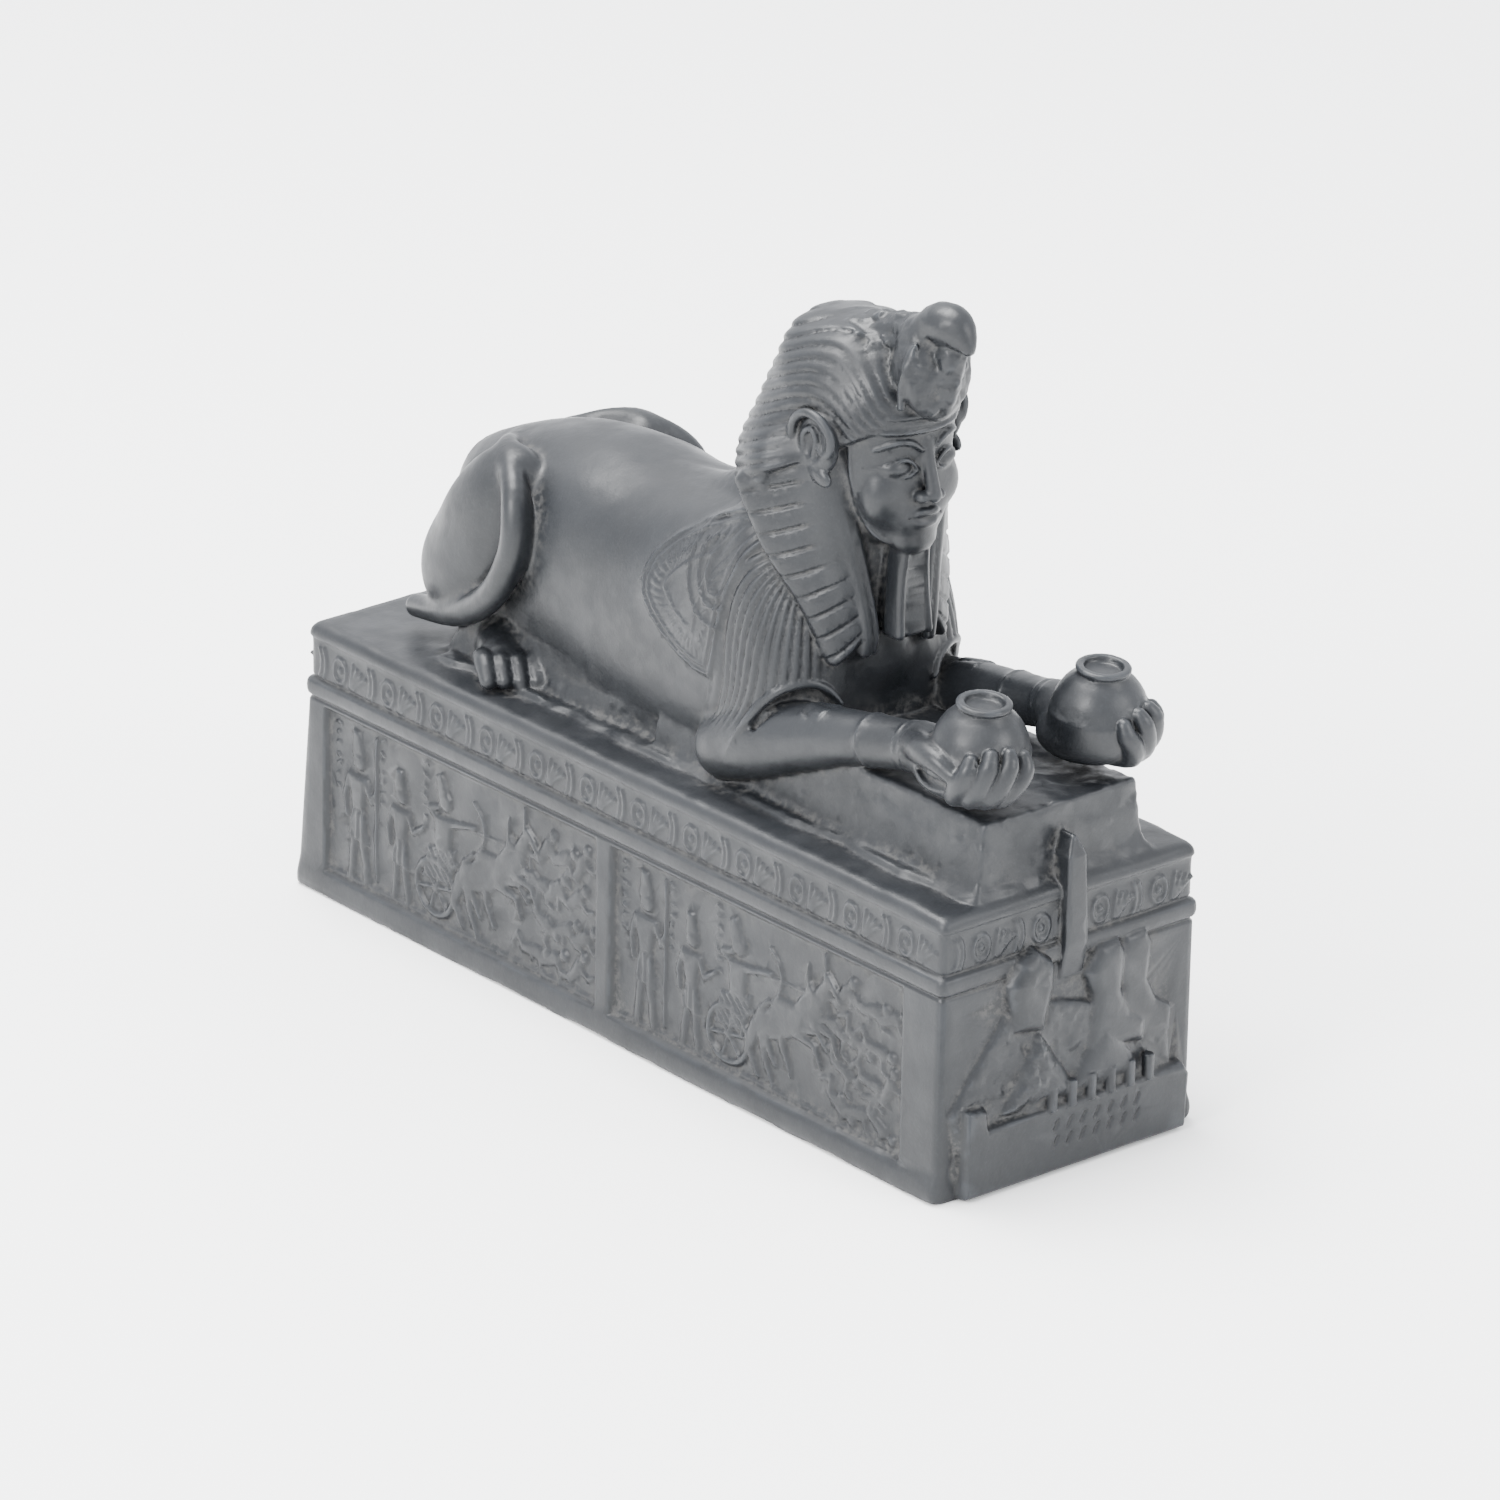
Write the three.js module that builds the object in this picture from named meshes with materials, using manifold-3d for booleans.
// A souvenir sphinx cast in one piece with its plinth: a lion with a king's head, lying on a
// block, whose human arms hold out two round offering jars.
// Millimetres. +Z is up, the sphinx looks along -Y, and the origin is the centre of the
// plinth's underside.
import * as THREE from "three";
import { LoftGeometry } from "three/addons/geometries/LoftGeometry.js";
import { mergeVertices } from "three/addons/utils/BufferGeometryUtils.js";
import Module from "manifold-3d";

// ---------------------------------------------------------------- driving dimensions
const PLINTH = { length: 130, width: 43, height: 39, round: 0.7, rearFlare: 2.6, sideFlare: 0.8 };
const FRONT = -PLINTH.length / 2;
const SIDE = PLINTH.width / 2;
const TOP = PLINTH.height;

// Bands that run round the plinth, as heights above the underside.
const BAND = { panelLow: 3.6, panelHigh: 27.6, beadLow: 28.6, beadHigh: 31, frieze: 36.6 };
const PLATE_DEPTH = 2; // how far the label plate stands out from the front
const BLOCK_TOP = 49.2; // top of the rough block under the hands
const SLEEVE_TILT = -0.42; // the sleeve's hem is lower at the back
const BEAD_PROUD = 0.45; // how far the bead under the frieze stands out
const GROOVE = 0.5; // width and depth of the incised lines
const PANEL = { sink: 0.9, relief: 0.75, endRear: 4, endFront: 7.5, divider: 3 };

const CREST = 71.8; // the lion's back above the plinth's underside
const JAR = { x: 10, y: -58, z: 56.4, radius: 6.5, neck: 2.9, lip: 3.7, mouth: 2.2, sink: 0.9, lean: 5 };
const EAR = { x: 10, y: -26.7, z: 88.3, wide: 2.5, tall: 4.4 };
const STRIPE = { dome: 2.5, lappet: 2.6, depth: 0.42 };

// ---------------------------------------------------------------- solids from geometries
const wasm = await Module();
wasm.setup();

function meshToSolid(geometry) {
  const bare = geometry.index ? geometry.toNonIndexed() : geometry.clone();
  bare.deleteAttribute("normal");
  bare.deleteAttribute("uv");
  const merged = mergeVertices(bare, 1e-4);
  const index = merged.index.array;
  const kept = [];
  for (let i = 0; i < index.length; i += 3) {
    const [a, b, c] = [index[i], index[i + 1], index[i + 2]];
    if (a !== b && b !== c && c !== a) kept.push(a, b, c);
  }
  const build = (triangles) =>
    new wasm.Manifold(
      new wasm.Mesh({
        numProp: 3,
        vertProperties: merged.attributes.position.array,
        triVerts: new Uint32Array(triangles),
      }),
    );
  const made = build(kept);
  return made.volume() < 0 ? build(kept.reverse()) : made;
}

// A geometry placed by position, rotation (degrees about X, Y and Z) and scale.
function place(geometry, { at = [0, 0, 0], turn = [0, 0, 0], scale = [1, 1, 1] } = {}) {
  const rotation = new THREE.Euler(...turn.map(THREE.MathUtils.degToRad), "XYZ");
  const matrix = new THREE.Matrix4().compose(
    new THREE.Vector3(...at),
    new THREE.Quaternion().setFromEuler(rotation),
    new THREE.Vector3(...scale),
  );
  return meshToSolid(geometry.clone().applyMatrix4(matrix));
}

const ellipsoid = (radii, options, around = 14, rows = 8) =>
  place(new THREE.SphereGeometry(1, around, rows), { ...options, scale: radii });
const join = (solids) => wasm.Manifold.union(solids);

// Both sides of a symmetrical pair, from a function of the side's sign.
const pair = (make) => [make(-1), make(1)];

// ---------------------------------------------------------------- rings, lofts and tubes
// A superellipse ring in the plane of two unit vectors.
function ring(centre, u, v, halfU, halfV, power, count) {
  return Array.from({ length: count }, (_, i) => {
    const angle = (2 * Math.PI * i) / count;
    const [c, s] = [Math.cos(angle), Math.sin(angle)];
    const bend = (x) => Math.sign(x) * Math.abs(x) ** (2 / power);
    return new THREE.Vector3(...centre)
      .addScaledVector(u, halfU * bend(c))
      .addScaledVector(v, halfV * bend(s));
  });
}

const X = new THREE.Vector3(1, 0, 0);
const Y = new THREE.Vector3(0, 1, 0);
const Z = new THREE.Vector3(0, 0, 1);

// A skin through rings of points. The rings are turned, where they need it, so that it faces out.
function loft(sections) {
  const centre = (points) =>
    points.reduce((sum, p) => sum.add(p), new THREE.Vector3()).divideScalar(points.length);
  const [start, next] = [centre(sections[0]), centre(sections[1])];
  const area = new THREE.Vector3();
  sections[0].forEach((p, i, all) => area.add(p.clone().cross(all[(i + 1) % all.length])));
  const runs = area.dot(next.sub(start)) > 0 ? sections : sections.map((points) => [...points].reverse());
  return meshToSolid(new LoftGeometry(runs, { capStart: true, capEnd: true }));
}

// Values between the rows of a small table, by a smooth curve through them.
function smoothTable(rows, steps) {
  const columns = rows[0].length;
  const at = (row, column) => rows[Math.max(0, Math.min(rows.length - 1, row))][column];
  return Array.from({ length: steps + 1 }, (_, step) => {
    const place01 = (step / steps) * (rows.length - 1);
    const row = Math.min(rows.length - 2, Math.floor(place01));
    const t = place01 - row;
    return Array.from({ length: columns }, (_, c) => {
      const [p0, p1, p2, p3] = [at(row - 1, c), at(row, c), at(row + 1, c), at(row + 2, c)];
      const curve = 2 * p1 + (p2 - p0) * t + (2 * p0 - 5 * p1 + 4 * p2 - p3) * t ** 2;
      return (curve + (3 * p1 - p0 - 3 * p2 + p3) * t ** 3) / 2;
    });
  });
}

// A round bar through [x, y, z, radius] rows, with blunt ends. It never runs along the reference.
function tube(rows, steps, around = 10, reference = X) {
  const points = smoothTable(rows, steps);
  const sections = points.map((p, i) => {
    const before = new THREE.Vector3(...points[Math.max(0, i - 1)].slice(0, 3));
    const after = new THREE.Vector3(...points[Math.min(steps, i + 1)].slice(0, 3));
    const along = after.sub(before).normalize();
    const side = reference.clone().addScaledVector(along, -reference.dot(along)).normalize();
    const up = new THREE.Vector3().crossVectors(along, side);
    return ring(p.slice(0, 3), side, up, p[3], p[3], 2, around);
  });
  return loft(sections);
}

// A flat outline pushed out into a slab. The outline lies in (u, v), and frame places u, v and depth.
function slab(outline, depth, frame) {
  const shape = new THREE.Shape(outline.map(([u, v]) => new THREE.Vector2(u, v)));
  const geometry = new THREE.ExtrudeGeometry(shape, { depth, bevelEnabled: false });
  return meshToSolid(geometry.applyMatrix4(frame));
}

// ---------------------------------------------------------------- plinth
function plinthBlock() {
  const r = PLINTH.round;
  const level = (z, inset) => {
    const [x, y] = [SIDE - inset, PLINTH.length / 2 - inset];
    const back = y + PLINTH.rearFlare * Math.max(0, 1 - z / BAND.beadLow);
    return [
      [-x, -y + r], [-x + r, -y], [x - r, -y], [x, -y + r],
      [x, back - r], [x - r, back], [-x + r, back], [-x, back - r],
    ].map(([px, py]) => new THREE.Vector3(px, py, z));
  };
  const beadMiddle = (BAND.beadLow + BAND.beadHigh) / 2;
  const g = GROOVE;
  return loft([
    level(0, 0),
    level(1.2, -PLINTH.sideFlare),
    level(BAND.panelLow, 0),
    level(BAND.beadLow - g, 0),
    level(BAND.beadLow, g),
    level(BAND.beadLow, -BEAD_PROUD / 2),
    level(beadMiddle, -BEAD_PROUD),
    level(BAND.beadHigh, -BEAD_PROUD / 2),
    level(BAND.beadHigh, g),
    level(BAND.frieze, g),
    level(BAND.frieze, 0),
    level(TOP - r, 0),
    level(TOP, r),
  ]);
}

// A frame on one long side: u runs from the rear to the front, v up, and depth outwards.
function sideFrame(sign, depthInwards, rear, low) {
  return new THREE.Matrix4().makeBasis(
    new THREE.Vector3(0, -1, 0), Z, new THREE.Vector3(sign, 0, 0),
  ).setPosition(sign * (SIDE - depthInwards), rear, low);
}

// A frame on the front: u runs to the viewer's right, v up, and depth outwards.
const frontFrame = (depthInwards, u = 0, v = 0) =>
  new THREE.Matrix4()
    .makeBasis(X, Z, new THREE.Vector3(0, -1, 0))
    .setPosition(u, FRONT + depthInwards, v);

const rear = PLINTH.length / 2;
const panelWidth = (PLINTH.length - PANEL.endRear - PANEL.endFront - PANEL.divider) / 2;
const panelHeight = BAND.panelHigh - BAND.panelLow;
const panelStarts = [rear - PANEL.endRear, rear - PANEL.endRear - panelWidth - PANEL.divider];

const rectangle = (w, h, u = 0, v = 0) => [[u, v], [u + w, v], [u + w, v + h], [u, v + h]];
const disc = (u, v, radius, count = 8) =>
  Array.from({ length: count }, (_, i) => {
    const angle = (2 * Math.PI * i) / count;
    return [u + radius * Math.cos(angle), v + radius * Math.sin(angle)];
  });
// A straight stroke between two points.
function stroke(u1, v1, u2, v2, width) {
  const length = Math.hypot(u2 - u1, v2 - v1);
  const [nu, nv] = [(-(v2 - v1) / length) * (width / 2), ((u2 - u1) / length) * (width / 2)];
  return [[u1 - nu, v1 - nv], [u2 - nu, v2 - nv], [u2 + nu, v2 + nv], [u1 + nu, v1 + nv]];
}

// ---------------------------------------------------------------- the war-chariot relief
// Figures of one panel as outlines. u runs from the rear to the front, and v is the height.
function standingFigure(u, tall, lean) {
  const s = tall / 20;
  const body = [
    [-1.7, 0], [-0.2, 0], [0.2, 5.5], [1, 0], [2.5, 0], [1.7, 8], [2.1, 14.6],
    [0.2, 20], [-2.1, 14.4], [-1.4, 8],
  ].map(([du, dv]) => [u + du * s, 1 + dv * s]);
  const arm = stroke(u + 0.5 * s, 1 + 12.7 * s, u + (1.2 + lean) * s, 1 + 14.5 * s, 1.1);
  return [body, arm];
}

function chariotTeam(u) {
  const horse = (shift, lift) =>
    [
      [0, 9], [2.2, 11.6], [7.6, 11.8], [11.2, 17.4], [14.8, 16.4], [12.6, 14.6],
      [12.6, 11.4], [16, 9], [11.4, 8.4], [4.2, 7.4], [3.4, 3], [0.6, 0.6], [1.6, 4.4],
    ].map(([du, dv]) => [u + shift + du, lift + dv]);
  const wheel = disc(u - 2.6, 5, 4.2, 8);
  const car = [[-5.6, 6], [0.4, 7], [1.6, 12], [-4.4, 11.4]].map(([du, dv]) => [u + du, dv]);
  return { solids: [horse(0, 0), horse(3.6, 2.8), wheel, car], hub: disc(u - 2.6, 5, 2.6, 4) };
}

function fallenCrowd(u, wide) {
  const strokes = [];
  const [columns, rows] = [2, 3];
  for (let i = 0; i < columns; i++)
    for (let j = 0; j < rows; j++) {
      const [cu, cv] = [u + ((i + 0.5) * wide) / columns, 3.4 + j * 6];
      const lean = (i + j) % 2 === 0 ? 2.4 : -2.3;
      strokes.push(stroke(cu - lean, cv - 1.9, cu + lean, cv + 2.2, 1.6));
    }
  return strokes;
}

function panelRelief(sign, start) {
  const team = chariotTeam(26);
  const figures = [
    ...standingFigure(6.5, 21, 2.6),
    ...standingFigure(15.5, 18, 4.4),
    ...team.solids,
    ...fallenCrowd(43, 13),
  ];
  const frame = sideFrame(sign, PANEL.sink + 0.2, start, BAND.panelLow);
  const raised = join(figures.map((outline) => slab(outline, PANEL.relief + 0.2, frame)));
  const deep = sideFrame(sign, PANEL.sink - 0.3, start, BAND.panelLow);
  return { raised, cut: slab(team.hub, 1, deep) };
}

function carvedSides(block) {
  let carved = block;
  for (const sign of [-1, 1])
    for (const start of panelStarts) {
      const window = sideFrame(sign, PANEL.sink, start, BAND.panelLow);
      carved = carved.subtract(slab(rectangle(panelWidth, panelHeight), 3, window));
      const { raised, cut } = panelRelief(sign, start);
      carved = carved.add(raised).subtract(cut);
    }
  return carved;
}

// ---------------------------------------------------------------- the frieze
// A row of lozenge bosses along each side, between the two incised lines.
function frieze() {
  const [sideUnits, frontUnits, sunk] = [12, 4, GROOVE + 0.2];
  const middle = (BAND.beadHigh + BAND.frieze) / 2;
  const run = (length, units, frameAt) =>
    Array.from({ length: units }, (_, i) =>
      slab(disc(length / units / 2, middle, 1.7, 4), sunk, frameAt((i * length) / units)),
    );
  const long = PLINTH.length - 4;
  const short = PLINTH.width - 3;
  const sides = pair((sign) => run(long, sideUnits, (u) => sideFrame(sign, sunk, rear - 2 - u, 0)));
  const front = run(short, frontUnits, (u) => frontFrame(sunk, u - short / 2));
  const back = run(short, frontUnits, (u) =>
    new THREE.Matrix4()
      .makeBasis(new THREE.Vector3(-1, 0, 0), Z, Y)
      .setPosition(short / 2 - u, rear - sunk, 0),
  );
  return [...sides.flat(), ...front, ...back];
}

// ---------------------------------------------------------------- the front's applied relief
function frontRelief() {
  const on = (outline, proud) => slab(outline, proud + 1, frontFrame(1));
  const plate = on([
    [-18.5, 2.4], [19.6, 2.4], [19.8, 8], [18.8, 9.6], [-14.5, 9.6], [-14.8, 12.4], [-18.5, 12.8],
  ], PLATE_DEPTH);
  const mount = on([
    [-20.4, 12], [-18.5, 6], [17.8, 6], [16.8, 17.5], [13.4, 19.2], [-6, 24.6], [-10.6, 24.4],
  ], 0.9);
  const kingBust = on([
    [-10.4, 22.5], [-11.4, 27.6], [-9.4, 30.6], [-6.6, 32.2], [-3.4, 29.4], [-3.4, 26.6], [-6.6, 22.6],
  ], 1.9);
  const profile = (u) => [
    [-2.6, 17], [-1.4, 22.6], [-2.8, 26], [-0.4, 29.4], [3, 29.6], [4.2, 27.4], [3.6, 22.6],
    [5.2, 19.4], [8, 17.6], [7.8, 15],
  ].map(([du, dv]) => [u + du, dv]);
  const pyramid = (u, high) => [[u - 6.4, 10], [u - 4.6, 13.2], [u, high], [u + 5.4, 13.6], [u + 7, 10]];
  const posts = Array.from({ length: 6 }, (_, i) => on(rectangle(1.7, 4, -4 + i * 3.3, 9), 2.2));
  return [
    plate, mount, kingBust,
    on(profile(9.4), 0.8), on(profile(4.4), 1.6),
    on(pyramid(-6.2, 21), 2.3), on(pyramid(5, 19.6), 2.2),
    ...posts, ...inscriptionStrokes(on), obelisk(),
  ];
}

// Two rows of short strokes, all slanting one way, where the plate carried an inscription.
function inscriptionStrokes(on) {
  const [count, pitch, start, lean, tall, wide, proud] = [7, 2.3, -3.6, 0.7, 1.3, 0.5, 0.3];
  return [4, 6.2].flatMap((low) =>
    Array.from({ length: count }, (_, i) => start + i * pitch).map((x) =>
      on(stroke(x, low, x + lean, low + tall, wide), PLATE_DEPTH + proud),
    ),
  );
}

function obelisk() {
  const [low, shoulder, tip] = [26, 42.6, 45.2];
  const section = (z, half, y) => [
    [-half, y], [half, y], [half, FRONT + 3], [-half, FRONT + 3],
  ].map(([px, py]) => new THREE.Vector3(px, py, z));
  return loft([
    section(low, 3, FRONT - 2.6), section(shoulder, 2.1, FRONT - 2), section(tip, 0.5, FRONT - 0.2),
  ]);
}

// ---------------------------------------------------------------- the lion
// Rows: y, half width, top. The sections are superellipses that stand in the plinth.
const TRUNK = [
  [52.5, 3.5, 59], [50.5, 7.2, 63], [45.5, 10.6, 66.6], [36, 12.2, 69.6], [23, 13, 70.8],
  [9, 14.2, CREST], [-5, 15.4, 73.6], [-16, 15.4, 75.6], [-23, 13.4, 73.6], [-28.6, 8.3, 66],
];
const TRUNK_LOW = 36;

function trunk() {
  const sections = smoothTable(TRUNK, 12).map(([y, half, top]) =>
    ring([0, y, (top + TRUNK_LOW) / 2], X, Z, half, (top - TRUNK_LOW) / 2, 2.45, 14),
  );
  return loft(sections);
}

// The rough mass left between the belly, the forearms and the plinth.
function bed() {
  const level = (z, half, front, back) =>
    [[-half, front], [half, front], [half, back], [-half, back]]
      .map(([px, py]) => new THREE.Vector3(px, py, z));
  const underArms = loft([
    level(TOP - 1, 14.8, FRONT + 2.2, 0),
    level(TOP + 2, 14, FRONT + 2.4, 0),
    level(BLOCK_TOP, 12.6, FRONT + 2.8, -20),
  ]);
  const underBelly = loft([level(TOP - 1, 13.6, -20, 46), level(46, 11.5, -20, 40)]);
  return [underArms, underBelly];
}

function haunch(sign) {
  const thigh = ellipsoid([5.6, 17, 8.6], { at: [sign * 10.8, 38.4, 56.8], turn: [-44, 0, 0] }, 10, 6);
  const shank = tube(
    [
      [sign * 8, 38.5, 67.6, 1], [sign * 13, 32.5, 67.2, 1.7], [sign * 15.4, 28, 64.4, 2],
      [sign * 15.8, 28, 58.5, 2.1], [sign * 15.2, 33, 51, 2.1], [sign * 13.8, 41.5, 45.6, 2.1],
      [sign * 11.4, 54.5, 42, 1.7],
    ], 7, 5,
  );
  return [thigh, shank, ...paw(sign)];
}

function paw(sign) {
  const foot = tube([
    [sign * 8, 40, TOP + 3, 3.4], [sign * 12.8, 33.4, TOP + 2.6, 3.6], [sign * 14.6, 30, TOP + 2, 2.4],
  ], 2, 7);
  const toes = [-1, 0, 1].map((step) => {
    const [x, y] = [sign * (15.2 - step * 2.2), 29 - step * 1.6];
    return tube([[x - sign * 1.4, y + 2.4, TOP + 3, 1.9], [x + sign * 0.9, y - 1.8, TOP + 1, 1.6]], 1, 5);
  });
  return [foot, ...toes];
}

const queue = () =>
  tube([[0, -10, 76, 5], [0, -4, 73, 4.2], [0, 4, 70.6, 2.6], [0, 12, 69.6, 1.6]], 3, 7);

// ---------------------------------------------------------------- arms and jars
// The pleated sleeve: rows of x, y, z and radius down the upper arm, with a ridge at every other point.
function sleeve(sign) {
  const rows = smoothTable(
    [[7, -15.5, 74, 4.2], [9, -18.2, 67, 5.8], [9.6, -19.8, 59, 6.2], [9.8, -22, 51.4, 6.2]], 3,
  );
  const sections = rows.map(([x, y, z, radius], i) => {
    const across = new THREE.Vector3(0, 1, SLEEVE_TILT).normalize();
    const points = ring([sign * x, y, z], X, across, radius, radius, 2, 16);
    const middle = new THREE.Vector3(sign * x, y, z);
    const pleat = i > 0 ? 0.5 : 0;
    return points.map((p, k) => p.addScaledVector(p.clone().sub(middle).normalize(), k % 2 ? pleat : 0));
  });
  return loft(sections);
}

function arm(sign) {
  const shoulder = ellipsoid([6, 11.5, 15], { at: [sign * 9.8, -12.5, 60.5], turn: [6, 0, 0] }, 10, 6);
  const forearm = tube(
    [
      [sign * 13.2, -13.6, 44.2, 4.6], [sign * 13.2, -20, 46.6, 5.2], [sign * 12.6, -33, 50.6, 4.3],
      [sign * 11.4, -46, 54, 2.8], [sign * 10.8, -51, 54, 2.8],
    ], 4, 8,
  );
  const cuff = tube([[sign * 12, -40.4, 52.7, 3.7], [sign * 11.5, -45.7, 53.9, 3.3]], 1, 8);
  return [shoulder, sleeve(sign), forearm, cuff];
}

function hand(sign) {
  const { x, y, z, radius } = JAR;
  const palm = ellipsoid([5.6, 7.6, 3.4], { at: [sign * x, y + 3.6, z - 4.4], turn: [-8, 0, 0] }, 7, 4);
  const fingers = Array.from({ length: 4 }, (_, i) => {
    const spread = (i - 1.5) * 17;
    const point = (angle, reach, thick) => {
      const [a, b] = [THREE.MathUtils.degToRad(angle), THREE.MathUtils.degToRad(spread)];
      return [
        sign * x + reach * Math.cos(a) * Math.sin(b), y - reach * Math.cos(a) * Math.cos(b),
        z + reach * Math.sin(a), thick,
      ];
    };
    return tube(
      [
        point(-78, radius + 0.7, 1.3), point(-45, radius + 0.9, 1.25),
        point(-12, radius + 0.6, 1.15), point(6, radius + 0.1, 0.7),
      ], 2, 4,
    );
  });
  const thumb = tube(
    [
      [sign * (x + 3.4), y + 8.4, z - 3.4, 1.6], [sign * (x + 5.8), y + 4.6, z - 2.6, 1.6],
      [sign * (x + 6.6), y + 0.4, z - 1.6, 1.2],
    ], 2, 5,
  );
  return [palm, ...fingers, thumb];
}

function jar(sign) {
  const { x, y, z, radius, neck, lip, mouth, sink, lean } = JAR;
  const arc = Array.from({ length: 6 }, (_, i) => {
    const angle = -Math.PI / 2 + (i / 5) * 2.6;
    return new THREE.Vector2(Math.max(0, radius * Math.cos(angle)), radius * Math.sin(angle));
  });
  const top = radius - 0.1;
  const collar = [
    [neck, radius - 0.75], [lip, radius - 0.6], [lip - 0.1, top],
    [mouth + 0.2, top], [mouth, top - sink], [0, top - sink],
  ].map(([across, up]) => new THREE.Vector2(across, up));
  const profile = [...arc, ...collar];
  profile[0].x = 0;
  return place(new THREE.LatheGeometry(profile, 12), { at: [sign * x, y, z], turn: [90 + lean, 0, 0] });
}

// ---------------------------------------------------------------- the head
// The dome of the headcloth is drawn from ear to ear. Rows: angle about the ears' axis from
// straight back, distance to the dome's middle line, half width.
const DOME = [
  [-66, 17, 14.6], [-42, 22, 16.2], [-20, 20.4, 15.8], [5, 17, 13.6], [28, 16.4, 12.2], [48, 17.4, 11.6],
  [68, 15.6, 11.2], [92, 13.4, 10.8], [115, 11.6, 10.2], [138, 9.4, 9.4], [158, 7.6, 8.8],
];

function dome() {
  const fan = smoothTable(DOME, 8);
  const stripes = Math.round(42 / STRIPE.dome);
  const arch = (step) => {
    const turn = Math.PI * (0.06 + (0.88 * step) / (2 * stripes));
    const ridge = step % 2 === 0 ? -STRIPE.depth / 2 : STRIPE.depth / 2;
    const [cos, sin] = [Math.cos(turn), Math.sin(turn)];
    const along = Math.sign(cos) * Math.abs(cos) ** (2 / 2.3);
    const out = Math.abs(sin) ** (2 / 2.3);
    const skin = fan.map(([angle, reach, half]) => {
      const a = THREE.MathUtils.degToRad(angle);
      const far = (reach + ridge) * out;
      const [y, z] = [EAR.y + far * Math.cos(a), EAR.z + far * Math.sin(a)];
      return new THREE.Vector3((half + ridge) * along, y, z);
    });
    return [...skin, new THREE.Vector3((12 + ridge) * along, EAR.y + 6, EAR.z - 6)];
  };
  return loft(Array.from({ length: 2 * stripes + 1 }, (_, step) => arch(step)));
}

// Rows down each lappet: outer x, outer y, inner x, inner y, height.
const LAPPET = [
  [15.4, -16.5, 9.2, -25.5, 84], [14.4, -20.4, 8, -27.8, 77], [12, -25, 6.6, -29, 70],
  [9.8, -27.6, 5.6, -29.8, 63.4], [8.8, -28.4, 6, -30, 60.4],
];

function lappet(sign) {
  const rows = smoothTable(LAPPET, 2 * Math.round((84 - 60.4) / STRIPE.lappet));
  const slope = 0.55; // the stripes climb towards the face
  const sections = rows.map(([ox, oy, ix, iy, z], i) => {
    const outer = new THREE.Vector3(sign * ox, oy, z - slope * 3);
    const inner = new THREE.Vector3(sign * ix, iy, z + slope * 3);
    const across = inner.clone().sub(outer);
    const half = across.length() / 2;
    across.normalize();
    const outwards = new THREE.Vector3().crossVectors(across, Z).normalize().multiplyScalar(-sign);
    const ridge = i % 2 === 0 ? -STRIPE.depth : STRIPE.depth;
    const centre = outer.clone().add(inner).multiplyScalar(0.5).addScaledVector(outwards, -0.6);
    return ring(centre.toArray(), across, outwards, half, 1.9 + ridge, 3.2, 6);
  });
  return loft(sections);
}

// Rows: z, half width, front of the face below the brow band.
const FACE = [
  [74, 2.4, -33], [75.4, 4.4, -34.4], [78.5, 6.2, -35], [83, 7.6, -35.2], [87, 8.2, -35.4],
  [91, 8.5, -35.7], [95, 8.6, -35.8],
];

function face() {
  const head = loft(
    smoothTable(FACE, 6).map(([z, half, front]) =>
      ring([0, (front - 18) / 2, z], X, Y, half, (-18 - front) / 2, 2.3, 10),
    ),
  );
  const nose = loft([
    [[-0.8, -34.8, 88], [0.8, -34.8, 88], [0.6, -36, 87.4], [-0.6, -36, 87.4]],
    [[-1.9, -33.8, 81.8], [1.9, -33.8, 81.8], [1, -37.6, 82.4], [-1, -37.6, 82.4]],
    [[-1.6, -33.8, 81.2], [1.6, -33.8, 81.2], [0.8, -36.2, 81.4], [-0.8, -36.2, 81.4]],
  ].map((corners) => corners.map((c) => new THREE.Vector3(...c))));
  const lips = ellipsoid([2.7, 1.6, 0.9], { at: [0, -34.4, 79] }, 8, 4);
  const eyes = pair((sign) =>
    ellipsoid([2, 1, 0.85], { at: [sign * 3.6, -34.4, 86], turn: [0, 0, sign * 14] }, 6, 4),
  );
  const brows = pair((sign) => tube([
    [sign * 1.4, -35.4, 88.6, 0.5], [sign * 4, -35, 89.4, 0.5], [sign * 6.4, -33, 88.6, 0.4],
  ], 2, 4, Z));
  const neck = loft([ring([0, -23, 60], X, Y, 7, 7, 2.2, 10), ring([0, -24, 80], X, Y, 6, 6.5, 2.2, 10)]);
  return [head, nose, lips, neck, ...eyes, ...brows];
}

function browBand() {
  const level = (z, grow) => ring([0, -26, z], X, Y, 8.9 + grow, 9.9 + grow, 2.1, 14);
  return loft([level(92.4, -0.5), level(92.6, 0), level(94.6, 0.1), level(95, -0.5)]);
}

function ear(sign) {
  const { x, y, z, wide, tall } = EAR;
  const shell = ellipsoid([1.7, wide, tall], { at: [sign * x, y, z], turn: [-6, 0, 0] }, 8, 5);
  const hollow = ellipsoid([1.2, wide * 0.5, tall * 0.5], { at: [sign * (x + 1.7), y, z + 0.6] }, 5, 3);
  return shell.subtract(hollow);
}

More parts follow.
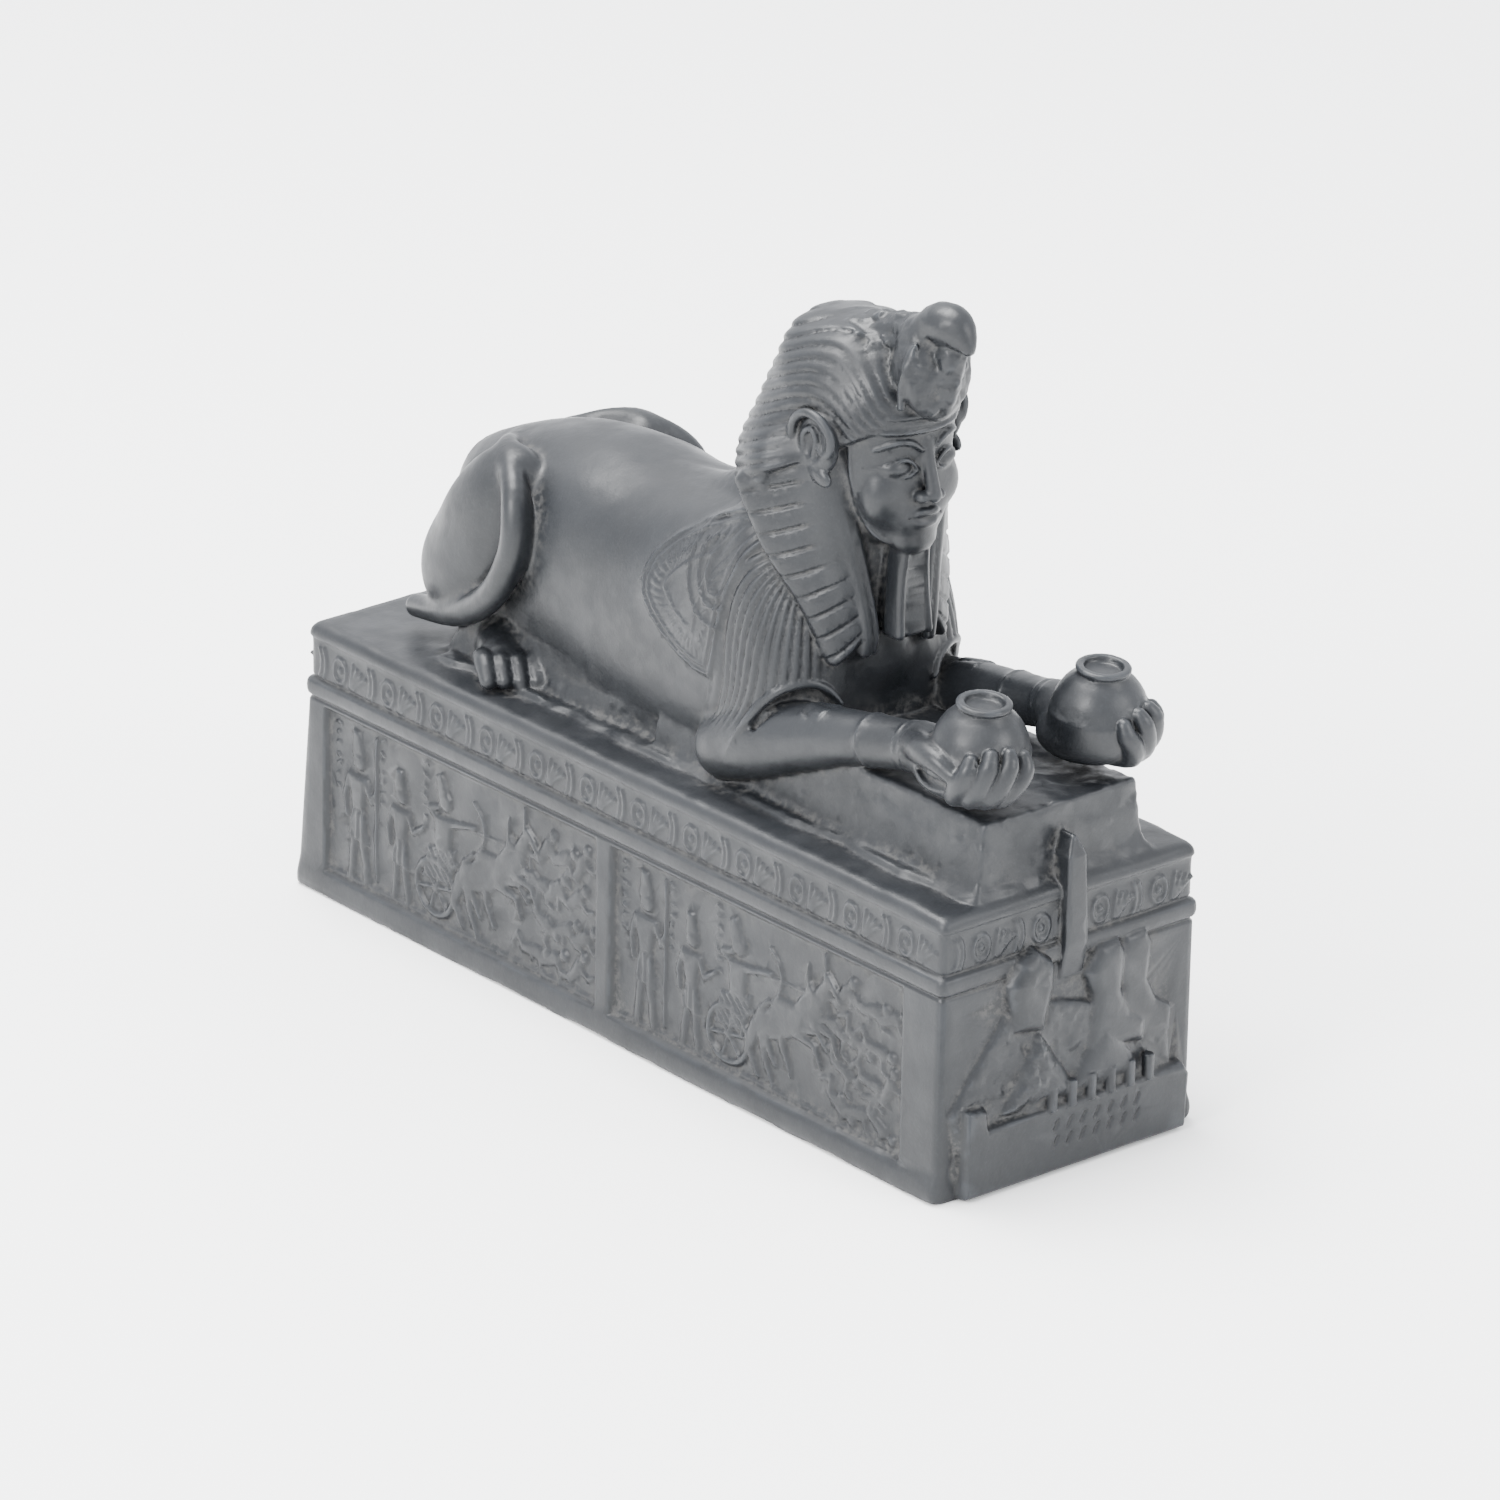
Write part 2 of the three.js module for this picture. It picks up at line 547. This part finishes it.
function beard() {
  const level = (z, half, front) =>
    [[-half, front], [half, front], [half, -24], [-half, -24]]
      .map(([px, py]) => new THREE.Vector3(px, py, z));
  return loft([level(76, 2, -34), level(70, 2.2, -33.4), level(62.6, 2.7, -33.8)]);
}

function uraeus() {
  const hood = ellipsoid([3.7, 2.8, 6], { at: [0, -37, 99.4], turn: [-10, 0, 0] }, 8, 6);
  const coil = tube([[0, -26, 101.4, 2.2], [0, -31.6, 101.8, 2.6], [0, -36, 103, 2.8]], 2, 6);
  const neck = tube([
    [0, -35.4, 102, 2.8], [0, -37.6, 105.6, 2.6], [0, -40.6, 106.4, 2.1], [0, -42.6, 104.8, 1.1],
  ], 3, 6);
  return [hood, coil, neck];
}

// ---------------------------------------------------------------- the casting
function sphinx() {
  const plinth = carvedSides(plinthBlock());
  const lion = [trunk(), ...bed(), ...pair(haunch).flat(), queue()];
  const offering = [...pair(arm).flat(), ...pair(hand).flat(), ...pair(jar)];
  const head = [dome(), ...pair(lappet), ...face(), browBand(), ...pair(ear), beard(), ...uraeus()];
  const cast = join([
    plinth, ...frieze(), ...frontRelief(), ...lion, ...offering, ...head,
  ]);
  // Pockets shut in between two forms are filled, as metal or resin fills them in a mould.
  const shells = cast.decompose().sort((a, b) => b.volume() - a.volume());
  return shells[0];
}

function solidToGeometry(solid) {
  const { numProp, numVert, vertProperties, triVerts } = solid.getMesh();
  const positions = new Float32Array(numVert * 3);
  for (let i = 0; i < numVert; i++)
    positions.set(vertProperties.subarray(i * numProp, i * numProp + 3), i * 3);
  const geometry = new THREE.BufferGeometry();
  geometry.setAttribute("position", new THREE.BufferAttribute(positions, 3));
  geometry.setIndex(new THREE.BufferAttribute(triVerts, 1));
  geometry.computeVertexNormals();
  return geometry;
}

const castResin = new THREE.MeshStandardMaterial({ color: 0x3d4144, roughness: 0.5, metalness: 0 });
const statue = new THREE.Mesh(solidToGeometry(sphinx()), castResin);
statue.name = "sphinx_statue";

const group = new THREE.Group();
group.add(statue);

export default group;
